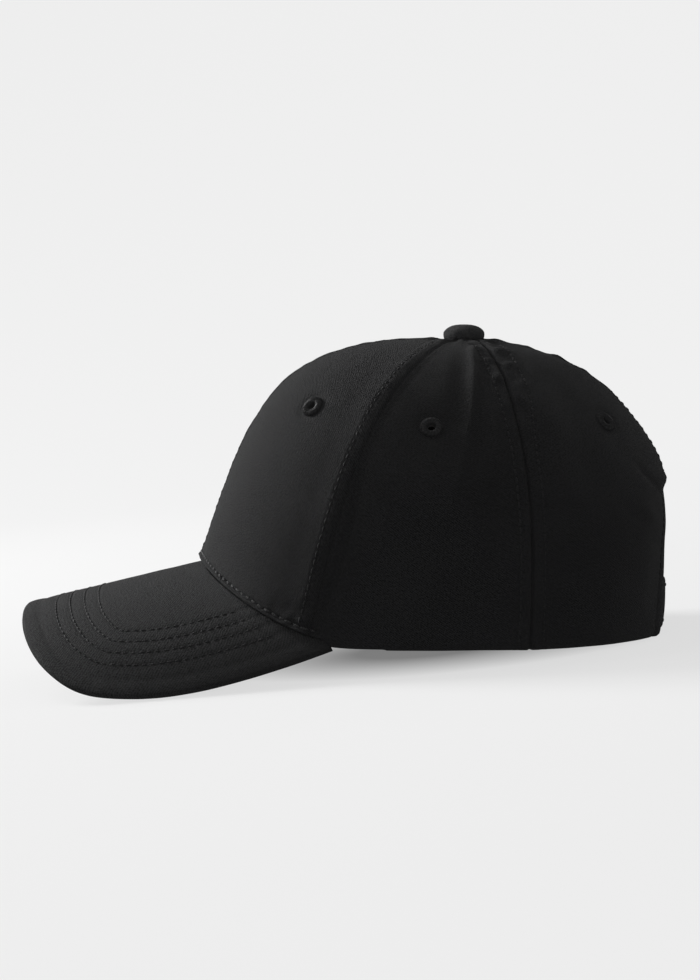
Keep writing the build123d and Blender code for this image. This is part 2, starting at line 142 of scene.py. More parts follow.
WHITE = (1.0, 1.0, 1.0)
LIGHTS = {                       # place and size in metres, power in watts
    "key_light": ((-1.0, -1.6, 1.1), (0.9, 0.9), 60),
    "top_light": ((-0.3, -0.9, 1.9), (0.8, 0.8), 5),
    "fill_light": ((1.8, 0.1, 0.15), (1.6, 1.2), 18),
    "back_light": ((-1.3, 1.5, 1.0), (1.4, 1.2), 4),
}


# ---- numbers ----

def basis(count, t):
    """Weights of a clamped cubic spline's control points at each t."""
    spans = count - 3
    knots = np.concatenate([[0] * 4, np.arange(1, spans) / spans, [1] * 4])
    t = np.clip(np.asarray(t, float), 0, 1 - 1e-9)[..., None]
    weights = ((knots[:-1] <= t) & (t < knots[1:])).astype(float)
    for degree in range(1, 4):
        width = knots[degree:] - knots[:-degree]
        slope = (t - knots[:-degree]) / np.where(width > 0, width, np.inf)
        weights = slope[..., :-1] * weights[..., :-1] + (1 - slope[..., 1:]) * weights[..., 1:]
    return weights


def bell(x, width):
    return np.exp(-(x / width) ** 2)


def ramp(x, low, high):
    share = np.clip((x - low) / (high - low), 0, 1)
    return share * share * (3 - 2 * share)


def unit(v):
    return v / np.maximum(np.linalg.norm(v, axis=-1, keepdims=True), 1e-12)


def path_length(line):
    """Distance along a line of points, from the first of them to each."""
    return np.cumsum(np.linalg.norm(np.diff(line, axis=0, prepend=line[:1]), axis=-1))


def mirrored(points, x):
    """The points moved over to the wearer's right where x is negative."""
    return points * np.where(np.asarray(x) < 0, -1.0, 1.0)[..., None] ** np.array([1, 0, 0])


def bisect(function, low, high, shape):
    """Where a function that is positive at low and negative at high crosses zero, per element."""
    low, high = np.full(shape, float(low)), np.full(shape, float(high))
    for _ in range(24):
        middle = (low + high) / 2
        above = function(middle) > 0
        low = np.where(above, middle, low)
        high = np.where(above, high, middle)
    return (low + high) / 2


def ripple(points, wavelength, seed):
    """Smooth noise, mostly from -1 to 1: a few waves in fixed random directions."""
    rng = np.random.default_rng(seed)
    total = 0.0
    for _ in range(7):
        direction = unit(rng.normal(size=3))
        size = wavelength * rng.uniform(0.7, 1.5)
        total = total + np.sin(points @ direction * (2 * math.pi / size) + rng.uniform(0, 6.28))
    return total / 3.2


# ---- the crown's surface ----

def crown_point(theta, t):
    theta, t = np.broadcast_arrays(np.asarray(theta, float), np.asarray(t, float))
    share = np.cos(theta)[..., None, None] ** 2
    end = np.where((np.cos(theta) > 0)[..., None, None], FRONT_MERIDIAN, REAR_MERIDIAN)
    meridian = share * end + (1 - share) * SIDE_MERIDIAN
    rho, z = np.moveaxis((basis(8, t)[..., None] * meridian).sum(-2), -1, 0)
    return np.stack([rho * np.sin(theta), APEX_Y - rho * np.cos(theta), z], -1)


def crown_normal(theta, t):
    step = 1e-3
    along = crown_point(theta, np.minimum(t + step, 1)) - crown_point(theta, np.maximum(t - step, 0))
    around = crown_point(theta + step, t) - crown_point(theta - step, t)
    return unit(np.cross(along, around))


def from_axis(points):
    """Level distance from the crown's axis."""
    return np.hypot(points[..., 0], points[..., 1] - APEX_Y)


def under_crown(theta, t, depth):
    """Points at a depth under the plain crown surface."""
    return crown_point(theta, t) - crown_normal(theta, t) * depth[..., None]


def visor_clearance(points):
    offset = points - VISOR_JOINT
    radius = VISOR_RADIUS + VISOR_TAPER * (offset @ VISOR_FORWARD)
    return np.hypot(points[..., 0], offset @ VISOR_UP + radius) - radius


def make_edge_table():
    """The crown's lower edge over theta: the visor joint in front, the rim elsewhere."""
    theta = np.linspace(0, math.pi, 721)

    def gap(t):
        return visor_clearance(crown_point(theta, t)) - PANEL_CLEARANCE

    low_gap = gap(np.full(721, 0.9))
    end_gap = gap(np.full(721, 1.0))
    joint = bisect(gap, 0.4, 1, 721)
    joint = np.where(end_gap < 0, joint, 1 + end_gap / np.maximum(low_gap - end_gap, 1.0) * 0.1)
    edge = (joint + 1 - np.hypot(joint - 1, EDGE_ROUNDING)) / 2
    return theta, np.where(np.cos(theta) < 0.4, 1.0, edge)


EDGE_TABLE = make_edge_table()


def make_length_table():
    """Arc length from the apex along the meridians."""
    points = crown_point(np.linspace(0, math.pi, 181)[:, None], np.linspace(0, 1, 241)[None, :])
    return np.cumsum(np.linalg.norm(np.diff(points, axis=1, prepend=points[:, :1]), axis=-1), 1)


LENGTH_TABLE = make_length_table()


def edge_t(theta):
    return np.interp(np.abs(theta), *EDGE_TABLE)


def arc_length(theta, t):
    """Distance along the meridian from the apex to t."""
    i = np.clip(np.abs(theta) / math.pi * 180, 0, 179.999)
    j = np.clip(t * 240, 0, 239.999)
    i0, j0 = i.astype(int), j.astype(int)
    fi, fj = i - i0, j - j0
    table = LENGTH_TABLE
    return ((table[i0, j0] * (1 - fi) + table[i0 + 1, j0] * fi) * (1 - fj)
            + (table[i0, j0 + 1] * (1 - fi) + table[i0 + 1, j0 + 1] * fi) * fj)


def t_above_edge(theta, height):
    """The parameter at a height above the crown's lower edge, along the meridian."""
    theta = np.asarray(theta, float)
    target = arc_length(theta, edge_t(theta)) - height
    return bisect(lambda t: target - arc_length(theta, t), 0, 1, theta.shape)


def joint_share(theta):
    """One along the visor joint, falling to zero behind the visor's tails."""
    return 1 - ramp(np.abs(theta), math.radians(49), math.radians(54))


def front_seam(t):
    return np.radians(67 - 19 * t)


def rear_seam(t):
    return np.radians(105.8 + 12 * (1 - t) ** 8)


def front_middle(t):
    return np.zeros_like(t)


def rear_middle(t):
    return np.full_like(t, math.pi)


def rear_spread(down):
    """How much further the rear seam's back row lies from it towards the apex."""
    return 2.6 * ramp(down, 95, 55)


def beside_seam(seam, t, offset):
    """theta at a level distance beside a seam."""
    return seam(t) + offset / from_axis(crown_point(seam(t), t))


def rear_place(x, z):
    """theta and t of the crown's rear surface at x and z."""
    x, z = np.broadcast_arrays(np.asarray(x, float), np.asarray(z, float))
    theta = np.full(x.shape, math.pi)
    for _ in range(6):
        t = bisect(lambda v: crown_point(theta, v)[..., 2] - z, 0.2, 1, x.shape)
        theta = math.pi - np.arcsin(x / from_axis(crown_point(theta, t)))
    return theta, t


# ---- how the sewn cloth stands off the plain surface ----

def seam_shape(distance, down, phase, crumple, row=TOPSTITCH, gather=1.0, pinch=0.95,
               one_side=False):
    """Height of the cloth near a seam: a pinched line, raised allowances and topstitch grooves."""
    away = np.abs(distance)
    sewn = 1 - ramp(distance, -0.8, 3.2) if one_side else 1.0
    pinch = -pinch * bell(away, 0.55)
    allowance = 0.42 * ramp(away, 0.2, 1.5) * (1 - ramp(away, row + 0.2, row + 2.6))
    beat = 1 + 0.4 * np.cos(2 * math.pi * down / STITCH_PITCH)
    groove = -0.36 * bell(away - row, 0.8) * beat
    high = ramp(down, 95, 35)
    turn = down / 8.1 + 0.4 * np.sin(down / 13 + phase)
    wave = 0.3 * np.sin(2 * math.pi * turn + phase + np.where(distance > 0, 1.7, 0)) + 1.1 * crumple
    pucker = (0.14 + 0.40 * high * gather) * bell(away - 0.6 * row, 0.55 * row) * wave
    return pinch + (allowance + groove + pucker) * sewn


def fold_shape(theta, rho, down):
    height = 0.0
    for width, places in FOLDS:
        downs, angles, sizes = np.array(places).T
        center = np.radians(np.interp(down, downs, angles))
        size = np.interp(down, downs, sizes)
        height = height + size * bell((theta - center) * rho, width)
    return height


def arch_push(points):
    """The slack cloth round the rear opening lies further in, below a crease at its top."""
    z = points[..., 2]
    near = 1 - ramp(arch_distance(points), 3, 30)
    return 2.3 * near * (1 - ramp(z, 62.5, 67.5)) * (0.4 + 0.6 * ramp(z, 5, 45))


def relief(theta, t, side):
    """Height of the sewn cloth over the plain crown surface, in millimetres."""
    points = crown_point(theta, t)
    rho = from_axis(points)
    down = arc_length(theta, t)
    up = arc_length(theta, edge_t(theta)) - down
    at_front = (theta - front_seam(t)) * rho
    at_rear = (theta - rear_seam(t)) * rho
    phase = 1.3 + side
    wide = TOPSTITCH + 0.3 + rear_spread(down) * (at_rear > 0)
    place = mirrored(points, side)
    crumple = ripple(place, 8.5, 11)
    height = seam_shape(at_front, down, phase, crumple, gather=0.5, pinch=0.14, one_side=True)
    height += seam_shape(at_rear, down, phase + 1, crumple, row=wide, gather=1.7)
    height += seam_shape(theta * rho, down, 0.4 * phase, crumple, gather=0.25, pinch=0.6)
    height += seam_shape((math.pi - theta) * rho, down, phase + 2, crumple, gather=0.8)

    # The stiffened front panels stand proud of the side panels, which fall into a soft valley.
    stiff = 1 - ramp(at_front, -1.2, 1.2)
    body = ramp(down, 24, 55)
    valley = 2.2 + 3.0 * ramp(down, 95, 125) - 2.4 * ramp(down, 142, 160)
    height += 0.75 * bell(at_front + 6, 5) * stiff * body * (1 - 0.5 * ramp(up, 30, 5))
    deep = 0.3 + 0.9 * ramp(down, 95, 125)
    height -= deep * bell(at_front - valley, 2.0) * (1 - stiff) * body * (1 - ramp(up, 16, 6))
    height += 0.8 * bell(at_front - 10.5, 6.5) * bell(up - 12, 8)
    corner = np.hypot(at_front - 1.0, up - 4.5)
    height -= 1.2 * bell(corner, 2.6)

    # Folds and slack, which the stiffened front panels hardly have.
    height -= 0.5 + 0.9 * ramp(theta, math.radians(125), math.radians(165)) * bell(down - 88, 22)
    loose = ramp(at_front, 2, 22)
    away_from_apex = ramp(rho, 10, 30)
    height += fold_shape(theta, rho, down) - arch_push(points)
    slack = 0.55 * ripple(place, 78, 3) + 0.20 * ripple(place, 27, 5) + 0.06 * ripple(place, 11, 6)
    taut = 0.2 * ripple(place, 90, 7) + 0.07 * ripple(place, 24, 9) + 0.025 * ripple(place, 9, 10)
    height += away_from_apex * (loose * slack + (1 - loose) * taut)

    # Gathers under the button.
    gather = np.sin(17 * theta + phase) + 0.7 * np.sin(11 * theta + 2 * phase)
    height += 0.28 * gather * bell(rho - 13, 6)
    height -= 0.8 * bell(rho - 9, 3.0)

    # Turned lower edge: a welt and a stitch row over the visor joint, a rolled rim elsewhere.
    joint = joint_share(theta)
    beat = 1 + 0.4 * np.cos(2 * math.pi * theta * rho / STITCH_PITCH)
    height += joint * (1.0 * bell(up - 3.1, 1.0) - 2.0 * (1 - ramp(up, 1.6, 2.6)))
    height -= joint * 0.5 * bell(up - HEM_ROW, 0.75) * beat
    height += joint * 0.3 * bell(up - 6.0, 2.0)
    lumps = ripple(place, 5.5, 13)
    height += joint * (0.10 + 0.38 * bell(at_front + 7, 9)) * lumps * bell(up - 7, 6)
    rim = (1 - joint) * (1 - ramp(theta, math.radians(158), math.radians(161)))
    height += rim * (0.3 * bell(up - 3.0, 2.2) + 0.35 * np.sin(theta * 9 + phase) * bell(up, 14))
    height -= 0.75 * bell(up - JOINT_GAP * joint, 0.6)

    # Turned edge of the rear opening.
    edge = arch_distance(points)
    height += 0.35 * bell(edge - 3.0, 2.0) - 0.75 * bell(edge, 0.7)
    height -= 0.4 * bell(edge - ARCH_ROW, 0.85)

    # Each eyelet pulls the cloth in around it.
    for angle in EYELET_ANGLES.values():
        center = crown_point(math.radians(angle), EYELET_T)
        height -= 0.5 * bell(np.linalg.norm(points - center, axis=-1) - 5.2, 1.5)
    return height


def arch_distance(points):
    """Rough distance outside the edge of the rear opening, large elsewhere on the crown."""
    x, y, z = np.moveaxis(points, -1, 0)
    level = np.sqrt((x / ARCH[0]) ** 2 + (z / ARCH[1]) ** 2)
    slope = np.sqrt((x / ARCH[0] ** 2) ** 2 + (z / ARCH[1] ** 2) ** 2) / np.maximum(level, 1e-6)
    return np.where(y > 60, (level - 1) / np.maximum(slope, 1e-6), 99.0)


def cloth_layers(theta, t, depths, side=1):
    """The sewn cloth surface, moved inwards by each of the depths."""
    plain = crown_point(theta, t)
    normal = crown_normal(theta, t)
    height = relief(theta, t, side)
    return [mirrored(plain + normal * (height - depth)[..., None], side) for depth in depths]


# ---- the visor's surface ----

def visor_at(w, s, depth):
    radius = VISOR_RADIUS + VISOR_TAPER * s
    reach = (radius - depth)[..., None]
    angle = (w / radius)[..., None]
    side = np.array([1.0, 0, 0]) * reach * np.sin(angle)
    up = VISOR_UP * (reach * np.cos(angle) - radius[..., None])
    return VISOR_JOINT + VISOR_FORWARD * s[..., None] + side + up


def visor_front(a, inset=0.0):
    """Outline of the visor at a, from -1 to 1 across, moved inwards by inset."""
    a = np.asarray(a, float)
    size = np.abs(a)
    step = 1e-3
    low = basis(6, np.maximum(size - step, 0)) @ VISOR_OUTLINE
    high = basis(6, np.minimum(size + step, 1)) @ VISOR_OUTLINE
    tangent = unit(high - low)
    w, s = np.moveaxis(basis(6, size) @ VISOR_OUTLINE, -1, 0)
    w = w + inset * tangent[..., 1]
    s = s - inset * tangent[..., 0]
    return np.where(a < 0, -w, w), s


def crown_gap(w, s):
    """How far a point of the visor stands out of the crown, measured level."""
    point = visor_at(w, s, np.zeros_like(w))
    theta = np.arctan2(point[..., 0], APEX_Y - point[..., 1])
    t = bisect(lambda v: crown_point(theta, v)[..., 2] - point[..., 2], 0.4, 1, w.shape)
    return from_axis(point) - from_axis(crown_point(theta, t))


def visor_back(a):
    """Inner edge of the visor, tucked in under the panels."""
    tail_w, tail_s = VISOR_OUTLINE[-1]
    w = a * (tail_w - VISOR_TAIL_WIDTH)
    s = bisect(lambda v: crown_gap(w, v) + VISOR_TUCK, 20, tail_s - 20, w.shape)
    return w, np.maximum(s, tail_s)


OUTLINE_LINE = np.stack(visor_front(np.linspace(-1, 1, 801)), -1)


def segment_distance(points, index):
    """Distance of each point from the outline's segment with that index."""
    run = OUTLINE_LINE[index + 1] - OUTLINE_LINE[index]
    offset = points - OUTLINE_LINE[index]
    share = np.clip((offset * run).sum(-1) / (run * run).sum(-1), 0, 1)
    return np.linalg.norm(offset - run * share[:, None], axis=-1)


def outline_distance(w, s):
    """Distance of points on the visor from its outline, and the place along the outline."""
    flat = np.stack([w.ravel(), s.ravel()], -1)
    lengths = path_length(OUTLINE_LINE)
    distance = np.empty(len(flat))
    along = np.empty(len(flat))
    for start in range(0, len(flat), 4000):
        block = slice(start, start + 4000)
        part = flat[block]
        gap = np.linalg.norm(part[:, None] - OUTLINE_LINE[None], axis=-1)
        nearest = gap.argmin(1)
        before = segment_distance(part, np.maximum(nearest - 1, 0))
        after = segment_distance(part, np.minimum(nearest, len(OUTLINE_LINE) - 2))
        distance[block] = np.minimum(before, after)
        along[block] = lengths[nearest]
    return distance.reshape(w.shape), along.reshape(w.shape)


def visor_relief(w, s, seed):
    """Height of the quilted cover over the board: stitched rows and a rolled edge."""
    distance, along = outline_distance(w, s)
    height = 0.0
    for row in VISOR_ROWS:
        beat = 1 + 0.3 * np.cos(2 * math.pi * along / STITCH_PITCH)
        height = height - 0.28 * bell(distance - row, 0.95) * beat
    points = np.stack([w, s, np.zeros_like(w)], -1)
    height += 0.10 * ripple(points, 30, seed) + 0.04 * ripple(points, 9, seed + 1)
    height += 0.22 * bell(distance - 4.0, 2.4) - 0.2 * bell(distance - 7.5, 1.4)
    roll = np.clip(1 - distance / 1.7, 0, 1)
    return height - (VISOR_THICKNESS / 2 - 0.05) * (1 - np.sqrt(1 - np.minimum(roll, 0.999) ** 2))


# ---- mesh building ----

# The move from the crown frame to the row frame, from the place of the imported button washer.
TILT = Matrix.Rotation(-REST_TILT, 4, "X")
WASHER = Vector((0, APEX_Y, CROWN_HEIGHT - WASHER_DROP)) * MM
PLACE = Matrix.Translation(sum(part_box("button_washer"), Vector()) / 2 - TILT @ WASHER) @ TILT
PLACE_TURN = np.array(PLACE.to_3x3())
PLACE_SHIFT = np.array(PLACE.translation)


def to_row(points):
    """Crown-frame millimetres to row-frame metres."""
    return points.reshape(-1, 3) * MM @ PLACE_TURN.T + PLACE_SHIFT


def make_mesh(name, points, faces, material, uv=None):
    """A smooth mesh object from row-frame points, with optional UVs in millimetres per vertex."""
    mesh = bpy.data.meshes.new(name)
    mesh.from_pydata(points.tolist(), [], faces)
    mesh.shade_smooth()
    if uv is not None:
        layer = mesh.uv_layers.new(name="cloth")
        corners = np.empty(len(mesh.loops), int)
        mesh.loops.foreach_get("vertex_index", corners)
        layer.data.foreach_set("uv", (uv[corners] * MM).astype(np.float32).ravel())
    mesh.update()
    mesh.materials.append(material)
    thing = bpy.data.objects.new(name, mesh)
    bpy.context.scene.collection.objects.link(thing)
    return thing


def add_piece(name, points, faces, uv, slot, nodes=None, body="cap", material=None):
    """A mesh with its slot, its body and what it replaces: if not given, the node it is named after."""
    if nodes is None:
        nodes = [name.rpartition("_")[0]]
    thing = make_mesh(name, to_row(points), faces, MATERIALS[material or slot], uv)
    if nodes:
        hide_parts(*nodes)
    if body:
        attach(thing, body)
    return thing


def ring_faces(rings, count):
    """Faces between closed rings of points."""
    index = np.arange(rings * count).reshape(rings, count)
    beside = np.roll(index, -1, axis=1)
    return np.stack([index[:-1], beside[:-1], beside[1:], index[1:]], -1).reshape(-1, 4)


def shell_faces(columns, rows, flip):
    """Faces of a closed sheet: an outer grid, an inner grid and the four edges between them."""
    size = (columns + 1) * (rows + 1)
    index = np.arange(size).reshape(columns + 1, rows + 1)
    quads = [index[:-1, :-1], index[1:, :-1], index[1:, 1:], index[:-1, 1:]]
    outer = np.stack(quads, -1).reshape(-1, 4)
    border = np.concatenate([index[:, 0], index[-1, 1:], index[-2::-1, -1], index[0, -2:0:-1]])
    after = np.roll(border, -1)
    edge = np.stack([after, border, border + size, after + size], -1)
    faces = np.concatenate([outer, outer[:, ::-1] + size, edge])
    return faces[:, ::-1] if flip else faces


def grid_uv(outer):
    """Distances across and down a grid of points, so that a weave keeps its scale."""
    u, v = (np.cumsum(np.linalg.norm(np.diff(outer, axis=k, prepend=outer.take([0], k)), axis=-1), k)
            for k in (0, 1))
    return np.stack([u - u[len(u) // 2], np.broadcast_to(-v.mean(0), v.shape)], -1)


def sheet_piece(name, outer, inner, slot, nodes=None, body="cap", flip=False, hole=None):
    """A closed piece between two grids of points, without the faces that touch a hole."""
    faces = shell_faces(outer.shape[0] - 1, outer.shape[1] - 1, flip)
    if hole is not None:
        faces = faces[~np.concatenate([hole, hole])[faces].any(1)]
    uv = grid_uv(outer).reshape(-1, 2)
    points = np.concatenate([outer.reshape(-1, 3), inner.reshape(-1, 3)])
    return add_piece(name, points, faces.tolist(), np.concatenate([uv, uv]), slot, nodes, body)


# ---- panels and visor ----

def fine_ends(count, share, fine, both=True):
    """Steps from 0 to 1 that are finer over a share of the length at the end, or at both ends."""
    end = np.linspace(0, share, fine + 1)
    start = end if both else np.zeros(1)
    middle = np.linspace(start[-1], 1 - share, count + 1)[1:-1]
    return np.concatenate([start, middle, 1 - end[::-1]])


def seam_margin(t, gap):
    """The angle that leaves half of a gap between a panel and its seam."""
    return gap / 2 / np.maximum(from_axis(crown_point(1.0, t)), 3.0)


def panel_grid(low_seam, high_seam, top=CROWN_TOP_T, gap=SEAM_GAP, lift=0.0, cell=CELL):
    """theta and t over one panel, as (across, down) arrays."""
    width, length = PANEL_SIZE
    u = fine_ends(int(width / cell), 0.035, 9)[:, None]
    v = fine_ends(int(length / cell), 0.03, 14, both=False)[None, :]
    t = top + (1 - top) * v * np.ones_like(u)
    for _ in range(4):
        low = low_seam(t) + seam_margin(t, gap)
        high = high_seam(t) - seam_margin(t, gap)
        theta = low + (high - low) * u
        bottom = t_above_edge(theta, lift + JOINT_GAP * joint_share(theta))
        t = top + (bottom - top) * v
    return theta, t


def rear_grid():
    """Like panel_grid for a rear panel, with its inner side following the edge of the opening."""
    half, height = ARCH
    t_top = float(rear_place(0.0, height)[1])
    rows_above = 62
    rows_beside = 96
    low_z = crown_point(np.array(math.pi), np.array(1.0))[2]
    turn = np.linspace(0, math.acos(low_z / height), rows_beside + 1)[1:]
    theta_side, t_side = rear_place(half * np.sin(turn), height * np.cos(turn))
    t_above = CROWN_TOP_T + (t_top - CROWN_TOP_T) * np.linspace(0, 1, rows_above + 1)
    t_line = np.concatenate([t_above, t_side])
    t_line[-1] = 1.0
    high_line = np.concatenate([np.full(rows_above + 1, math.pi), theta_side])
    u = fine_ends(90, 0.035, 9)[:, None]
    t = np.broadcast_to(t_line[None, :], (len(u), len(t_line)))
    margin = seam_margin(t, SEAM_GAP)
    low = rear_seam(t) + margin
    high = high_line[None, :] - margin * (np.arange(len(t_line)) <= rows_above)[None, :]
    return low + (high - low) * u, t


def eyelet_hole(theta, t, name):
    """Which points of a panel's grid lie inside its eyelet's hole."""
    center = crown_point(math.radians(EYELET_ANGLES[name]), EYELET_T)
    return np.linalg.norm(crown_point(theta, t) - center, axis=-1).ravel() < EYELET_HOLE


def build_panels():
    for side, hand in HANDS:
        grids = {
            "front": panel_grid(front_middle, front_seam),
            "side": panel_grid(front_seam, rear_seam),
            "rear": rear_grid(),
        }
        for name, (theta, t) in grids.items():
            sheet_piece(f"{name}_panel_{hand}_cloth", *cloth_layers(theta, t, PANEL_DEPTHS, side),
                        "crown_twill", flip=side < 0, hole=eyelet_hole(theta, t, name))
        theta, t = panel_grid(front_middle, front_seam, top=0.16, gap=3.0, lift=2.5, cell=2.0)
        sheet_piece(f"front_buckram_{hand}_net", *cloth_layers(theta, t, BUCKRAM_DEPTHS, side),
                    "buckram", flip=side < 0, hole=eyelet_hole(theta, t, "front"))


def build_visor():
    """The visor's two covers, which meet round the outline."""
    v = fine_ends(90, 0.045, 12)[None, :]
    a = np.linspace(-1, 1, 281)[:, None] * np.ones_like(v)
    front_w, front_s = visor_front(a)
    back_w, back_s = visor_back(np.abs(a))
    back_w = np.where(a < 0, -back_w, back_w)
    w = back_w + (front_w - back_w) * v
    s = back_s + (front_s - back_s) * v
    for face, slot in (("top", "visor_twill"), ("under", "under_visor_twill")):
        height = visor_relief(w, s, VISOR_SEEDS[face])
        inner = np.minimum(0.55 - height, VISOR_THICKNESS / 2 - 0.02)
        depths = (-height, inner)
        if face == "under":
            depths = (VISOR_THICKNESS + height, VISOR_THICKNESS - inner)
        sheet_piece(f"visor_{face}_cover_cloth", *(visor_at(w, s, depth) for depth in depths), slot,
                    flip=face == "under")


# ---- stitches ----

def stitch_mesh(points, tangents, normals, length, radius):
    """Short bulged threads laid on a line, as one block of points, faces and UVs."""
    rings, sides = 6, 7
    along = np.linspace(-1, 1, rings)
    turn = np.arange(sides) / sides * 2 * math.pi
    size = radius * (1 - 0.8 * np.abs(along) ** 3)
    rise = radius * 0.75 - radius * 1.5 * np.abs(along) ** 3
    local = np.stack([
        np.repeat(along * length / 2, sides),
        (size[:, None] * np.cos(turn)).ravel() * 1.15,
        (size[:, None] * np.sin(turn) + rise[:, None]).ravel()], -1)
    axes = np.stack([tangents, unit(np.cross(normals, tangents)), normals], 1)
    blocks = points[:, None] + np.einsum("pi,nij->npj", local, axes)
    count = rings * sides
    starts = np.arange(len(points)) * count
    faces = (ring_faces(rings, sides)[None] + starts[:, None, None]).reshape(-1, 4).tolist()
    for start in starts.tolist():
        faces.append(list(range(start, start + sides))[::-1])
        faces.append(list(range(start + count - sides, start + count)))
    uv = np.tile(np.stack([local[:, 0], np.tile(turn, rings)], -1), (len(points), 1))
    return blocks.reshape(-1, 3), faces, uv


def thread_row(line, normals, rng, pitch=STITCH_PITCH, length=2.75, radius=0.3):
    """Stitches at even steps along a dense line of crown-frame points."""
    total = path_length(line)
    count = max(int(total[-1] / pitch), 1)
    at = (np.arange(count) + 0.5) * total[-1] / count

    def sample(values, shift=0.0):
        return np.stack([np.interp(at + shift, total, values[:, k]) for k in range(3)], -1)

    normal = unit(sample(normals))
    tangent = unit(sample(line, 0.5) - sample(line, -0.5))
    tangent = unit(tangent + np.cross(normal, tangent) * rng.normal(0, 0.05, (count, 1)))
    normal = unit(normal - tangent * (normal * tangent).sum(-1, keepdims=True))
    return stitch_mesh(sample(line), tangent, normal, length, radius)


def add_threads(name, rows, nodes, body="cap", material="sewing_thread"):
    """Rows of stitches joined into one piece."""
    points, uv = (np.concatenate([row[k] for row in rows]) for k in (0, 2))
    faces, start = [], 0
    for block, block_faces, _ in rows:
        faces += [[i + start for i in face] for face in block_faces]
        start += len(block)
    add_piece(name, points, faces, uv, "sewing_thread", nodes, body, material)


def cloth_line(theta, t, depth, side):
    """Points of the sewn cloth below its surface by depth, and the plain crown's normals there."""
    return cloth_layers(theta, t, [depth], side)[0], mirrored(crown_normal(theta, t), side)


def seam_row(seam, offset, side, rng):
    """A row of topstitches beside a seam, clear of the lower edge and the rear opening."""
    t = np.linspace(0.115, 1, 160)
    if seam is rear_seam and offset > 0:
        offset = offset + 0.3 + rear_spread(arc_length(seam(t), t))
    theta = beside_seam(seam, t, offset)
    up = arc_length(theta, edge_t(theta)) - arc_length(theta, t)
    low = HEM_ROW + 1.0 if seam in (front_middle, front_seam) else 1.5
    keep = (up > low) & (arch_distance(crown_point(theta, t)) > ARCH_ROW + 1)
    return thread_row(*cloth_line(theta[keep], t[keep], 0.05, side), rng)


def build_stitches():
    rng = np.random.default_rng(12)
    seams = ((front_seam, -TOPSTITCH), (rear_seam, -TOPSTITCH), (rear_seam, TOPSTITCH),
             (front_middle, TOPSTITCH), (rear_middle, -TOPSTITCH))
    rows = [seam_row(seam, offset, side, rng) for side, _ in HANDS for seam, offset in seams]
    add_threads("crown_topstitch_threads", rows, ["crown_topstitching"])

    theta = np.linspace(0.004, math.radians(50), 200)
    t = t_above_edge(theta, HEM_ROW)
    rows = [thread_row(*cloth_line(theta, t, 0.02, side), rng, pitch=3.7, length=3.4, radius=0.38)
            for side, _ in HANDS]
    add_threads("visor_seam_threads", rows, ["visor_seam_stitching"], material="hem_thread")

    half, height = ARCH[0] + ARCH_ROW, ARCH[1] + ARCH_ROW
    turn = np.linspace(0.03, math.acos(28 / height), 120)
    theta, t = rear_place(half * np.sin(turn), height * np.cos(turn))
    rows = [thread_row(*cloth_line(theta, t, 0.05, side), rng) for side, _ in HANDS]
    add_threads("arch_edge_threads", rows, [])

    rows = []
    for inset in VISOR_ROWS:
        a = np.linspace(0, 1, 400)
        reach = a[crown_gap(*visor_front(a, inset)) > 1.2].max()
        w, s = visor_front(np.linspace(-reach, reach, 700), inset)
        for face, depth, sign in (("top", 0.0, 1), ("under", VISOR_THICKNESS, -1)):
            surface = depth - sign * visor_relief(w, s, VISOR_SEEDS[face])
            line = visor_at(w, s, surface)
            away = unit(visor_at(w, s, surface - 1.0) - line) * sign
            rows.append(thread_row(line, away, rng))
    add_threads("visor_quilting_threads", rows, ["visor_stitching"])


# ---- eyelets and button ----

def build_eyelets():
    """Embroidered rings: thread wrapped from the outer edge into the hole."""
    wraps = 46
    around = np.linspace(0, 2 * math.pi, wraps * 6, endpoint=False)
    ridge = np.cos(wraps * around)
    radius, height = (column[:, None] for column in EYELET_PROFILE.T)
    rings, count = len(EYELET_PROFILE), len(around)
    faces = (ring_faces(rings + 1, count) % (rings * count)).tolist()
    uv = np.stack(np.broadcast_arrays(around * 3, np.arange(rings)[:, None]), -1).reshape(-1, 2)
    for side, hand in HANDS:
        for name, degrees in EYELET_ANGLES.items():
            rng = np.random.default_rng(int(degrees) + side)
            center, normal = cloth_line(np.array(math.radians(degrees)), np.array(EYELET_T), 0.1, side)
            across = unit(np.cross(normal, np.array([0.0, 0.0, 1.0])))
            wobble = 0.12 * np.sin(3 * around + degrees) + 0.08 * rng.normal(size=around.shape)
            grow = 0.11 * ridge * np.clip(height + 0.9, 0, 1) + wobble * (radius - 1.5) / 3
            reach = radius + grow * 0.6
            rise = height + 0.09 * ridge * (height > 0)
            local = np.stack([np.cos(around) * reach, np.sin(around) * reach, rise], -1)
            points = center + local @ np.stack([across, np.cross(normal, across), normal])
            add_piece(f"eyelet_{name}_{hand}_thread", points, faces, uv, "eyelet_thread")


def build_button():
    """A cloth-covered button with a few gathers at its edge."""
    around = np.linspace(0, 2 * math.pi, 144, endpoint=False)
    radius, height = (column[:, None] for column in BUTTON_PROFILE.T)
    share = radius / BUTTON_RADIUS
    reach = radius + 0.06 * share ** 4 * (np.sin(9 * around) + 0.6 * np.sin(14 * around + 1))
    level = CROWN_HEIGHT + 0.2 + height + 0.05 * np.sin(5 * around + radius) * share
    points = np.stack([reach * np.cos(around), APEX_Y + reach * np.sin(around), level], -1)
    rings, count = reach.shape
    faces = ring_faces(rings, count)[:, [0, 3, 2, 1]].tolist()
    last_ring = list(range((rings - 1) * count, rings * count))
    away = path_length(BUTTON_PROFILE)[:, None]
    uv = np.stack([away * np.cos(around), away * np.sin(around)], -1).reshape(-1, 2)
    add_piece("button_cover_cloth", points, faces + [last_ring[::-1]], uv, "button_twill")


# ---- inside ----

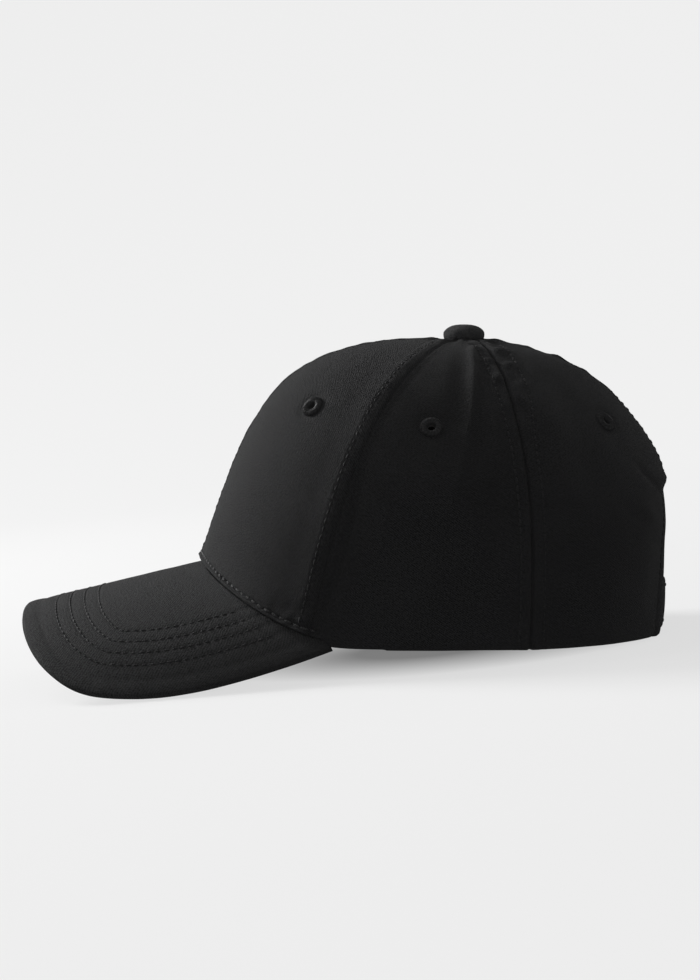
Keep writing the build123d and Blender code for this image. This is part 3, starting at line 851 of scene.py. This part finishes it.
def build_sweatband():
    """The sweatband with its padding, which swells between its two seams."""
    low, high = BAND_HEIGHTS
    end = float(rear_place(ARCH[0] + 3.5, 15.0)[0])
    height = np.linspace(low, high, 31)[None, :]
    theta = np.linspace(-end, end, 421)[:, None] * np.ones_like(height)
    # In front its lower edge hangs further down and covers the visor's back edge.
    dip = (low + 4.5) * joint_share(theta) * (1 - ramp(height - low, 0, 14))
    t = t_above_edge(theta, height - dip)
    size = np.abs(theta)
    share = (height - low) / (high - low)
    swell = 0.9 * np.sin(math.pi * share) ** 0.6 + 0.12 * ripple(crown_point(size, t), 40, 51)
    for seam in (low + 2.2, high - 2.2):
        swell = swell - 0.35 * bell(height - seam, 0.7)
    outer = mirrored(under_crown(size, t, np.array(BAND_DEPTHS[0])), theta)
    inner = mirrored(under_crown(size, t, BAND_DEPTHS[1] + swell), theta)
    band = sheet_piece("sweatband_cloth", outer, inner, "sweatband_cotton",
                       ["sweatband", "sweatband_padding"])


def tape_piece(name, seam, side, top, nodes=None):
    """The tape over the inside of a seam, down to the sweatband or to the rear opening."""
    if seam is rear_middle:
        end = rear_place(0.0, ARCH[1] + 7)[1]
    else:
        end = t_above_edge(seam(np.array(1.0)), BAND_HEIGHTS[1] - 3)
    across = np.linspace(-4.5, 4.5, 9)[:, None]
    t = np.linspace(top, float(end), 90)[None, :] * np.ones_like(across)
    theta = beside_seam(seam, t, across)
    depth = 1.9 + 0.25 * bell(np.abs(across) - 3.3, 0.5) * np.ones_like(t)
    depth -= np.minimum(relief(np.abs(theta), t, 1), 0.0) * 0.6
    outer, inner = (mirrored(under_crown(theta, t, depth + more), side) for more in (0, 0.5))
    sheet_piece(name, outer, inner, "seam_tape", nodes, flip=side < 0)


def build_tapes():
    for side, hand in HANDS:
        for seam, name in ((front_seam, "front"), (rear_seam, "rear")):
            tape_piece(f"seam_tape_{name}_{hand}_cloth", seam, side, 0.13)
    tape_piece("seam_tape_center_front_cloth", front_middle, 1, 0.09, ["seam_tape_center"])
    tape_piece("seam_tape_center_rear_cloth", rear_middle, 1, 0.09, [])

    # The binding of the rear opening.
    turn = np.linspace(-1.17, 1.17, 161)[:, None]
    grow = 0.4 + np.linspace(0, 9.0, 9)[None, :]
    x = (ARCH[0] + grow) * np.sin(turn)
    z = (ARCH[1] + grow) * np.cos(turn)
    outer, inner = (mirrored(layer, x) for layer in cloth_layers(*rear_place(np.abs(x), z), (0.9, 1.5)))
    sheet_piece("arch_binding_cloth", outer, inner, "binding_tape")


# ---- closure ----

def rear_cloth(x, z, depth):
    """A point behind or over the rear of the crown, at x and z, below the surface by depth."""
    theta, t = rear_place(np.abs(x), z)
    return mirrored(under_crown(theta, t, depth + arch_push(crown_point(theta, t))), x)


def rear_piece(name, x_range, z_range, depths, cells, slot, nodes=None, body="cap", step=0.0, soft=0.0):
    """A strap or patch that follows the rear of the crown. A soft one has rounded, stitched edges."""
    x, z = np.broadcast_arrays(np.linspace(*x_range, cells[0] + 1)[:, None],
                               np.linspace(*z_range, cells[1] + 1)[None, :])
    dip = step * ramp(x, *TAB_STEP)
    edge = np.minimum.reduce([z - z_range[0], z_range[1] - z, x - x_range[0], x_range[1] - x])
    roll = soft * np.clip(1 - edge, 0, 1) ** 2
    swell = 0.12 * ripple(np.stack([x, z, x * 0], -1), 16, 61) * (soft > 0)
    groove = 0.22 * bell(edge - 2.6, 0.6) * (soft > 0)
    outer = rear_cloth(x, z, depths[0] + dip + roll - swell + groove)
    inner = rear_cloth(x, z, depths[1] + dip - roll * 0.8)
    return sheet_piece(name, outer, inner, slot, nodes, body, flip=True)


def strap_row(x, z, rng):
    depth = np.full(x.shape, STRAP_DEPTHS[0] + 0.1)
    line = rear_cloth(x, z, depth)
    away = unit(rear_cloth(x, z, depth - 1) - line)
    return thread_row(line, away, rng, pitch=2.8, length=2.3, radius=0.27)


def build_strap():
    """The strap and its sewn root are one length of cloth, baked in place and not attached to a body.
    """
    strap = rear_piece("closure_strap_cloth", (STRAP_END_X, STRAP_HIDDEN_X), STRAP_Z, STRAP_DEPTHS,
                       (150, 44), "strap_twill", ["closure_strap", "closure_strap_root"], body=None,
                       soft=0.35)
    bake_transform(strap)


def build_closure():
    build_strap()
    rear_piece("closure_tab_cloth", (-STRAP_HIDDEN_X, TAB_END_X), STRAP_Z, STRAP_DEPTHS, (90, 40),
               "strap_twill", step=TAB_DROP, soft=0.35)
    patch_z = (STRAP_Z[0] + 2, STRAP_Z[1] - 2)
    hook = STRAP_DEPTHS[1] + 0.05
    loop = STRAP_DEPTHS[0] + TAB_DROP - 0.05
    rear_piece("strap_hook_patch_pile", PATCH_X, patch_z, (hook, hook + 0.6), (60, 50), "hook_tape",
               body="strap")
    rear_piece("tab_loop_patch_pile", PATCH_X, patch_z, (loop - 0.6, loop), (60, 50), "loop_tape")

    # A box of stitches round the hook patch, and two rows along the rest of the strap.
    rng = np.random.default_rng(77)
    left, right = PATCH_X[0] + 1.2, PATCH_X[1] - 1.2
    corners = [(left, patch_z[0]), (right, patch_z[0]), (right, patch_z[1]), (left, patch_z[1])]
    share = np.linspace(0.02, 0.98, 40)
    rows = []
    for (x0, z0), (x1, z1) in zip(corners, corners[1:] + corners[:1]):
        rows.append(strap_row(x0 + (x1 - x0) * share, z0 + (z1 - z0) * share, rng))
    for z in (STRAP_Z[0] + 2.6, STRAP_Z[1] - 2.6):
        x = np.linspace(PATCH_X[1] + 2.0, STRAP_ROOT_X - 7.5, 60)
        rows.append(strap_row(x, np.full(60, z), rng))
    add_threads("strap_threads", rows, ["strap_stitching"], body="strap")


# ---- materials ----

class Nodes:
    """A small helper that builds a node material."""

    def __init__(self, name, values=()):
        self.material = bpy.data.materials.new(name)
        self.material.use_nodes = True
        self.tree = self.material.node_tree
        self.shader = self.tree.nodes["Principled BSDF"]
        self.fill(self.shader, values)

    def add(self, kind, **values):
        node = self.tree.nodes.new(kind)
        for key, value in values.items():
            setattr(node, key, value)
        return node

    def fill(self, node, values):
        for key, value in values:
            node.inputs[key].default_value = value

    def link(self, source, target):
        self.tree.links.new(source, target)

    def object_place(self):
        return self.add("ShaderNodeTexCoord").outputs["Object"]

    def cloth_place(self):
        """The UV map, and its two parts."""
        uv = self.add("ShaderNodeUVMap").outputs[0]
        split = self.add("ShaderNodeSeparateXYZ")
        self.link(uv, split.inputs[0])
        return uv, split.outputs[0], split.outputs[1]

    def math(self, operation, *values):
        node = self.add("ShaderNodeMath", operation=operation)
        for socket, value in zip(node.inputs, values):
            if isinstance(value, (int, float)):
                socket.default_value = value
            else:
                self.link(value, socket)
        return node.outputs[0]

    def scaled(self, value, factor, offset=0.0):
        """value * factor + offset"""
        return self.math("MULTIPLY_ADD", value, factor, offset)

    def shades(self, value, tone, *stops):
        """A ramp of shades of a tone, with a place and a factor for each stop."""
        node = self.add("ShaderNodeValToRGB")
        for k, (place, factor) in enumerate(stops):
            stop = node.color_ramp.elements[k] if k < 2 else node.color_ramp.elements.new(place)
            stop.position = place
            stop.color = (*(min(c * factor, 1) for c in tone), 1)
        self.link(value, node.inputs[0])
        return node.outputs[0]

    def noise(self, vector, scale, detail, roughness=0.5):
        node = self.add("ShaderNodeTexNoise")
        self.fill(node, (("Scale", scale), ("Detail", detail), ("Roughness", roughness)))
        self.link(vector, node.inputs["Vector"])
        return node.outputs["Fac"]

    def distance(self, scale, shift):
        """Distance from the origin after the object's points are scaled and shifted."""
        move = self.add("ShaderNodeVectorMath", operation="MULTIPLY_ADD")
        self.link(self.object_place(), move.inputs[0])
        self.fill(move, ((1, scale), (2, shift)))
        length = self.add("ShaderNodeVectorMath", operation="LENGTH")
        self.link(move.outputs[0], length.inputs[0])
        return length.outputs["Value"]

    def finish(self, color, rough, height, strength, depth):
        """Links the colour, the roughness and a bump to the shader."""
        bump = self.add("ShaderNodeBump")
        self.fill(bump, (("Strength", strength), ("Distance", depth)))
        self.link(height, bump.inputs["Height"])
        for source, key in ((color, "Base Color"), (rough, "Roughness"), (bump.outputs[0], "Normal")):
            self.link(source, self.shader.inputs[key])
        return self.material


def twill_material(name, tone, pitch=0.72, angle=58, depth=1.0, lint_and_glint=0.5, grain=2.2):
    """Cotton twill: diagonal wales over a fine thread grain, with soft fading and a few light flecks,
    which are both loose fibres and painted glints on the wales.
    """
    n = Nodes(name, (("Specular IOR Level", 0.14), ("Sheen Weight", 0.035), ("Sheen Roughness", 0.4)))
    uv, u, v = n.cloth_place()
    place = n.object_place()
    turn = math.radians(angle)
    wave = 2 * math.pi / (pitch * MM)
    waver = n.scaled(n.noise(uv, 480, 3), 0.0007)
    across = n.scaled(u, math.cos(turn), n.scaled(v, math.sin(turn), waver))
    along = n.scaled(v, math.cos(turn), n.scaled(u, -math.sin(turn)))
    wale = n.math("SINE", n.scaled(across, wave))
    beads = n.math("SINE", n.scaled(along, wave * 1.15))
    fibre = n.noise(uv, 5200, 3, 0.7)
    slub = n.scaled(n.noise(uv, 1300, 3, 0.65), 1.6 * grain, -0.8 * grain)
    weave = n.scaled(wale, 0.36, n.scaled(beads, 0.14, 0.55))
    height = n.math("ADD", n.scaled(fibre, 0.35, weave), slub)
    shade = n.scaled(height, 0.62, n.scaled(n.noise(place, 26, 4, 0.6), 0.55))
    color = n.shades(shade, tone, (0.35, 0.5), (0.893, 1.75), (0.62, 1.0))
    # Light flecks: loose fibres, and painted glints that stand in for light caught on the wales.
    lint_and_glint_flecks = n.shades(n.noise(place, 1700, 2, 0.6), WHITE, (0.66, 0), (0.80, 0.05 * lint_and_glint))
    mix = n.add("ShaderNodeMix", data_type="RGBA", blend_type="ADD")
    mix.inputs[0].default_value = 1.0
    n.link(color, mix.inputs[6])
    n.link(lint_and_glint_flecks, mix.inputs[7])
    return n.finish(mix.outputs[2], n.scaled(fibre, 0.12, 0.78), height, 0.85 * depth, 0.00024)


def thread_material(name, tone, twist=0.9):
    """Twisted sewing thread: slanted plies with a soft gloss."""
    n = Nodes(name, (("Specular IOR Level", 0.2), ("Sheen Weight", 0.05)))
    uv, u, v = n.cloth_place()
    ply = n.math("SINE", n.scaled(u, 2 * math.pi / (twist * MM), n.scaled(v, 1 / MM)))
    fibre = n.noise(uv, 3500, 2, 0.6)
    height = n.scaled(ply, 0.5, n.scaled(fibre, 0.4))
    color = n.shades(n.scaled(height, 0.5, 0.4), tone, (0.1, 0.55), (0.9, 1.6))
    return n.finish(color, n.scaled(fibre, 0.15, 0.5), height, 0.8, 0.00012)


def net_material(name, tone):
    """Stiff open net: two crossing sets of threads."""
    n = Nodes(name)
    uv, u, v = n.cloth_place()
    wave = 2 * math.pi / (1.1 * MM)
    height = n.math("MAXIMUM", *(n.math("SINE", n.scaled(way, wave)) for way in (u, v)))
    grain = n.noise(uv, 2500, 2, 0.6)
    color = n.shades(n.scaled(height, 0.4, n.scaled(grain, 0.4)), tone, (0.0, 0.45), (0.6, 1.0))
    return n.finish(color, n.scaled(grain, 0.2, 0.7), height, 0.9, 0.0003)


def pile_material(name, tone, scale, strength):
    """Hook or loop tape: a dense field of small tufts."""
    n = Nodes(name)
    uv = n.cloth_place()[0]
    cells = n.add("ShaderNodeTexVoronoi")
    cells.inputs["Scale"].default_value = scale
    n.link(uv, cells.inputs["Vector"])
    fibre = n.noise(uv, 4000, 3, 0.7)
    height = n.scaled(cells.outputs["Distance"], -1.0, n.scaled(fibre, 0.5))
    color = n.shades(n.math("ADD", height, 0.6), tone, (0.1, 0.4), (0.9, 1.8))
    return n.finish(color, n.scaled(fibre, 0.2, 0.6), height, strength, 0.0005)


def hard_material(name, tone, metallic, roughness, grain):
    """Moulded plastic or stamped metal with fine scuffs."""
    n = Nodes(name, (("Metallic", metallic),))
    scuff = n.noise(n.object_place(), grain, 5, 0.7)
    color = n.shades(scuff, tone, (0.25, 0.75), (0.75, 1.15))
    return n.finish(color, n.scaled(scuff, 0.25, roughness), scuff, 0.25, 0.0001)


def floor_material():
    """Pale grey that glows more with distance from the cap, with a painted shadow: little glow under
    the crown.
    """
    n = Nodes("studio_floor", (("Roughness", 1.0), ("Specular IOR Level", 0.0)))
    reach = n.math("DIVIDE", n.distance((1, 1, 1), (0, 0, 0)), 1.5)
    # Painted shadow: the floor's glow is dimmed under the crown, standing in for the cap's contact
    # shadow.
    painted_shadow_distance = n.math("MULTIPLY", n.distance((1.0, 0.8, 0.0), (0.0, -0.024, 0.0)), 5.0)
    for key, value, stops in (("Base Color", reach, ((0.25, 0.22), (0.9, 0.04))),
                              ("Emission Color", reach, ((0.25, 0.67), (0.9, 0.845))),
                              ("Emission Strength", painted_shadow_distance, ((0.12, 0.3), (0.38, 1.0)))):
        n.link(n.shades(value, WHITE, *stops), n.shader.inputs[key])
    return n.material


def make_materials():
    """Materials by the slots that wear them, and some by their own names."""
    black = (0.0125, 0.0125, 0.013)
    band = twill_material("sweatband_twill", (0.014, 0.014, 0.015), pitch=0.7, lint_and_glint=0.2)
    # Painted light: the visor's twill is a lighter copy of the crown's black, standing in for the light
    # that falls on the visor; both covers wear it.
    visor = twill_material("visor_twill", (0.0225, 0.0225, 0.023), angle=50, depth=1.15, grain=3.2)
    tape = twill_material("seam_tape_weave", (0.013, 0.013, 0.014), pitch=0.6, angle=45, lint_and_glint=0.2)
    return {
        "crown_twill": twill_material("crown_twill", black),
        # Painted light: the button wears the crown's black cloth in a lighter tone, standing in for the
        # light on its top.
        "button_twill": twill_material("button_twill", (0.028, 0.028, 0.0285)),
        "visor_twill": visor,
        "under_visor_twill": visor,
        "strap_twill": twill_material("strap_twill", black),
        "sweatband_cotton": band,
        "seam_tape": tape,
        "binding_tape": tape,
        "buckram": net_material("buckram_net", (0.035, 0.035, 0.036)),
        "sewing_thread": thread_material("sewing_thread", (0.0105, 0.0105, 0.011)),
        "hem_thread": thread_material("hem_thread", (0.028, 0.028, 0.0285)),
        "eyelet_thread": thread_material("eyelet_thread", (0.013, 0.013, 0.0135), twist=1.2),
        "hook_tape": pile_material("hook_tape", (0.015, 0.015, 0.015), 900, 0.9),
        "loop_tape": pile_material("loop_tape", (0.016, 0.016, 0.017), 600, 1.0),
        "board": hard_material("board_plastic", (0.02, 0.02, 0.021), 0.0, 0.4, 300),
        "metal": hard_material("button_metal", (0.5, 0.5, 0.5), 1.0, 0.3, 500),
    }


def dress_cad_nodes():
    """The hard pieces keep their CAD shapes."""
    for node, key in (("visor_board", "board"), ("button_shell", "metal"), ("button_tack", "metal"),
                      ("button_washer", "metal")):
        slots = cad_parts[node].data.materials
        slots.clear()
        slots.append(MATERIALS[key])


# ---- studio ----

def build_stage():
    """A seamless floor that curves up into a round wall."""
    floor_radius, wall_radius, wall_height = 1.3, 3.2, 3.6
    bend = np.linspace(0, math.pi / 2, 14)
    rise = wall_radius - floor_radius
    profile = [(0.0, 0.0), (0.4, 0.0)]
    profile += [(floor_radius + rise * math.sin(b), rise * (1 - math.cos(b))) for b in bend]
    profile += [(wall_radius, wall_height)]
    around = np.linspace(0, 2 * math.pi, 96, endpoint=False)
    points = np.array([(r * math.cos(a), r * math.sin(a), z) for r, z in profile for a in around])
    faces = ring_faces(len(profile), len(around)).tolist()
    stage = make_mesh("studio_floor", points, faces, floor_material())
    stage.visible_diffuse = False
    stage.visible_glossy = False


def build_lights():
    middle = Vector((0, 0, 0.07))
    for name, (place, size, power) in LIGHTS.items():
        data = bpy.data.lights.new(name, "AREA")
        data.shape = "RECTANGLE"
        data.size, data.size_y = size
        data.energy = power
        lamp = bpy.data.objects.new(name, data)
        lamp.location = place
        lamp.rotation_euler = (middle - Vector(place)).to_track_quat("-Z", "Y").to_euler()
        bpy.context.scene.collection.objects.link(lamp)
    world = bpy.data.worlds.new("studio")
    bpy.context.scene.world = world
    world.use_nodes = True
    background = world.node_tree.nodes["Background"]
    background.inputs[0].default_value = (1, 1, 1, 1)
    background.inputs[1].default_value = 0.14


def build_camera():
    """The camera looks at the wearer's left side, a little down on the crown frame's rim."""
    picture_width = 700 * 0.42      # pixels of the photo, at the millimetres that each one spans
    distance = 850.0
    tilt = math.radians(3)
    place = Vector((0, -33.6, 61.7)) + distance * Vector((math.cos(tilt), 0, math.sin(tilt)))
    turn = Euler((math.pi / 2 - tilt, 0, math.pi / 2)).to_matrix().to_4x4()
    data = bpy.data.cameras.new("camera")
    data.sensor_fit = "HORIZONTAL"
    data.sensor_width = 36.0
    data.lens = data.sensor_width * distance / picture_width
    data.clip_end = 20
    camera = bpy.data.objects.new("camera", data)
    camera.matrix_world = PLACE @ Matrix.Translation(place * MM) @ turn
    bpy.context.scene.collection.objects.link(camera)
    bpy.context.scene.camera = camera
    bpy.context.scene.view_settings.view_transform = "Standard"


MATERIALS = make_materials()
build_panels()
build_visor()
build_stitches()
build_eyelets()
build_button()
build_sweatband()
build_tapes()
build_closure()
dress_cad_nodes()
build_stage()
build_lights()
build_camera()
